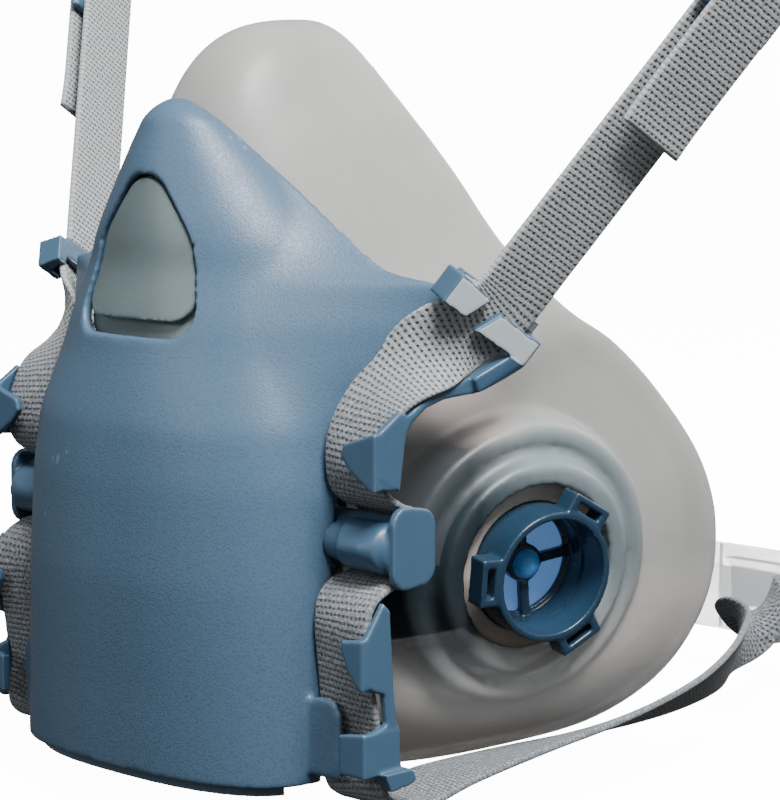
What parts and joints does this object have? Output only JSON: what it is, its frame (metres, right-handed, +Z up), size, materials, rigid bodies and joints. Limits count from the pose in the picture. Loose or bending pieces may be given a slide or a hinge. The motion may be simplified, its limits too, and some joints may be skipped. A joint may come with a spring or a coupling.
{
  "type": "respirator",
  "caption": "Half-mask respirator: translucent silicone face seal, slate-blue front cover with a window, two side bayonet filter ports and an elastic drop-down head harness.",
  "frame": {"origin": "centre of the face opening, where the wearer's face meets the seal", "axes": "+X is the wearer's left, -Y is the front of the mask, +Z is up; millimetres in the source, metres in the files"},
  "size_m": [0.206, 0.2209, 0.2524],
  "materials": {
    "face_seal": "translucent grey silicone, satin",
    "front_cover": "fine leather-grain moulded plastic",
    "window_pad": "translucent grey-green silicone, satin",
    "center_adapter": "smooth moulded plastic",
    "exhalation_seat": "smooth moulded plastic",
    "exhalation_flap": "thin silicone film",
    "strap_guide_left": "satin moulded plastic",
    "strap_guide_right": "satin moulded plastic",
    "filter_port_left": "satin moulded plastic",
    "filter_port_right": "satin moulded plastic",
    "port_gasket_left": "translucent brown silicone",
    "port_gasket_right": "translucent brown silicone",
    "valve_post_left": "bright blue moulded plastic",
    "valve_post_right": "bright blue moulded plastic",
    "inhalation_flap_left": "thin pale blue film",
    "inhalation_flap_right": "thin pale blue film",
    "strap_left": "grey elastic basket-weave webbing",
    "strap_right": "grey elastic basket-weave webbing",
    "crown_cradle": "satin moulded plastic",
    "neck_clasp_catch": "clear moulded plastic",
    "neck_clasp_hook": "clear moulded plastic"
  },
  "bodies": {
    "mask": {"face_seal": "face_seal", "front_cover": "front_cover", "window_pad": "window_pad", "center_adapter": "center_adapter", "exhalation_seat": "exhalation_seat", "strap_guide_left": "strap_guide_left", "strap_guide_right": "strap_guide_right", "filter_port_left": "filter_port_left", "filter_port_right": "filter_port_right", "port_gasket_left": "port_gasket_left", "port_gasket_right": "port_gasket_right", "valve_post_left": "valve_post_left", "valve_post_right": "valve_post_right", "strap_left": "strap_left", "strap_right": "strap_right", "crown_cradle": "crown_cradle", "neck_clasp_catch": "neck_clasp_catch"},
    "exhale_flap": {"exhalation_flap": "exhalation_flap"},
    "inhale_flap_left": {"inhalation_flap_left": "inhalation_flap_left"},
    "inhale_flap_right": {"inhalation_flap_right": "inhalation_flap_right"},
    "clasp_hook": {"neck_clasp_hook": "neck_clasp_hook"}
  },
  "joints": [
    {"name": "exhale_valve", "type": "slide", "parent": "mask", "child": "exhale_flap", "axis": [0, -1, 0], "range_m": [0, 0.0015], "stiffness_N_per_m": 2},
    {"name": "inhale_valve_left", "type": "slide", "parent": "mask", "child": "inhale_flap_left", "axis": [-0.9629, 0.241, 0.1219], "range_m": [0, 0.0015], "stiffness_N_per_m": 2},
    {"name": "inhale_valve_right", "type": "slide", "parent": "mask", "child": "inhale_flap_right", "axis": [0.9629, 0.241, 0.1219], "range_m": [0, 0.0015], "stiffness_N_per_m": 2},
    {"name": "neck_clasp", "type": "slide", "parent": "mask", "child": "clasp_hook", "axis": [-1, 0, 0], "range_m": [0, 0.016], "deforming": ["strap_right"]}
  ]
}
